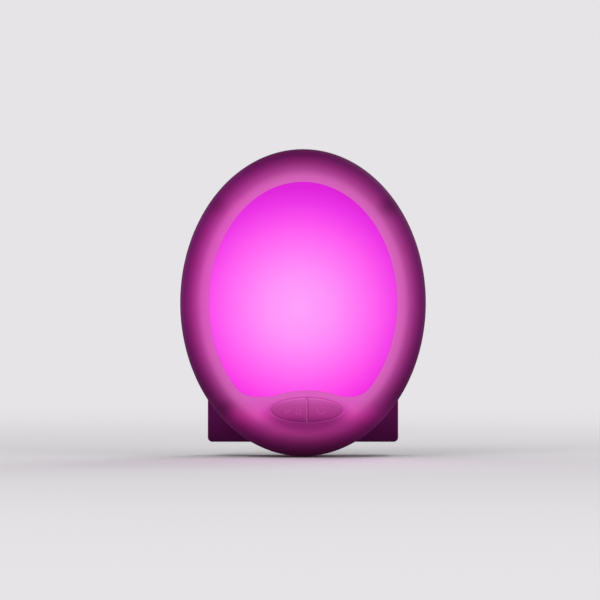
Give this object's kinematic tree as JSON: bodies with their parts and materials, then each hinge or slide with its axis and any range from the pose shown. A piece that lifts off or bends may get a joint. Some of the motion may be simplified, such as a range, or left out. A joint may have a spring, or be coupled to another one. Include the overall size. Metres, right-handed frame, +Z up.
{
  "type": "night light",
  "caption": "Plug-in wall night light: tall elliptical case with a glowing lens, a split elliptical push-button below it, and a rectangular plug block with flat blades behind.",
  "frame": {"origin": "on the plug face, midway between the two blades", "axes": "+Y into the wall along the blades, +Z up, +X to the right as seen from the front"},
  "size_m": [0.08, 0.0558, 0.1],
  "materials": {
    "shell_plastic": "moulded translucent white plastic, lit pink from inside",
    "block_plastic": "moulded plastic, fine spark texture",
    "lens_plastic": "frosted diffuser, glowing magenta",
    "button_plastic": "satin moulded plastic",
    "inner_plastic": "natural moulded plastic",
    "blade_metal": "nickel-plated brass",
    "screw_steel": "zinc-plated",
    "driver_laminate": "green solder mask",
    "led_laminate": "white solder mask",
    "film_capacitor_case": "yellow box",
    "capacitor_sleeve": "shrunk sleeve",
    "chip_resin": "moulded epoxy",
    "resistor_enamel": "flameproof enamel",
    "chip_resistor": "fired glass coat",
    "led_body": "white reflector",
    "led_phosphor": "clear silicone fill",
    "pin_metal": "tinned",
    "switch_plastic": "moulded",
    "switch_steel": "spring stainless"
  },
  "bodies": {
    "case": {"front_bezel": "shell_plastic", "rear_cover": "shell_plastic", "plug_block": "block_plastic", "diffuser_lens": "lens_plastic", "button_guide": "inner_plastic", "blade_retainer": "inner_plastic", "link_header_spacer": "inner_plastic", "live_blade": "blade_metal", "neutral_blade": "blade_metal", "guide_screws": "screw_steel", "upper_case_screws": "screw_steel", "lower_case_screws": "screw_steel", "block_screws": "screw_steel", "retainer_screws": "screw_steel", "driver_board_screws": "screw_steel", "led_board_screws": "screw_steel", "driver_board": "driver_laminate", "led_board": "led_laminate", "film_capacitor": "film_capacitor_case", "smoothing_capacitor": "capacitor_sleeve", "bridge_rectifier": "chip_resin", "driver_chip": "chip_resin", "controller_chip": "chip_resin", "fusible_resistor": "resistor_enamel", "led_resistors": "chip_resistor", "led_packages": "led_body", "led_windows": "led_phosphor", "link_header_pins": "pin_metal", "driver_chip_legs": "pin_metal", "controller_chip_legs": "pin_metal", "switch_terminals": "pin_metal", "mode_switch_base": "switch_plastic", "power_switch_base": "switch_plastic", "mode_switch_dome": "switch_steel", "power_switch_dome": "switch_steel", "mode_switch_cover": "switch_steel", "power_switch_cover": "switch_steel"},
    "mode_button": {"mode_button": "button_plastic"},
    "power_button": {"power_button": "button_plastic"},
    "mode_plunger": {"mode_switch_plunger": "switch_plastic"},
    "power_plunger": {"power_switch_plunger": "switch_plastic"}
  },
  "joints": [
    {"name": "mode_button_press", "type": "slide", "parent": "case", "child": "mode_button", "axis": [0, 1, 0], "range_m": [0, 0.0004], "stiffness_N_per_m": 4000},
    {"name": "power_button_press", "type": "slide", "parent": "case", "child": "power_button", "axis": [0, 1, 0], "range_m": [0, 0.0004], "stiffness_N_per_m": 4000},
    {"name": "mode_plunger_press", "type": "slide", "parent": "case", "child": "mode_plunger", "axis": [0, 1, 0], "range_m": [0, 0.0004], "deforming": ["mode_switch_dome"]},
    {"name": "power_plunger_press", "type": "slide", "parent": "case", "child": "power_plunger", "axis": [0, 1, 0], "range_m": [0, 0.0004], "deforming": ["power_switch_dome"]}
  ],
  "couplings": [
    {"joint": "mode_plunger_press", "follows": "mode_button_press", "ratio": 1},
    {"joint": "power_plunger_press", "follows": "power_button_press", "ratio": 1}
  ]
}
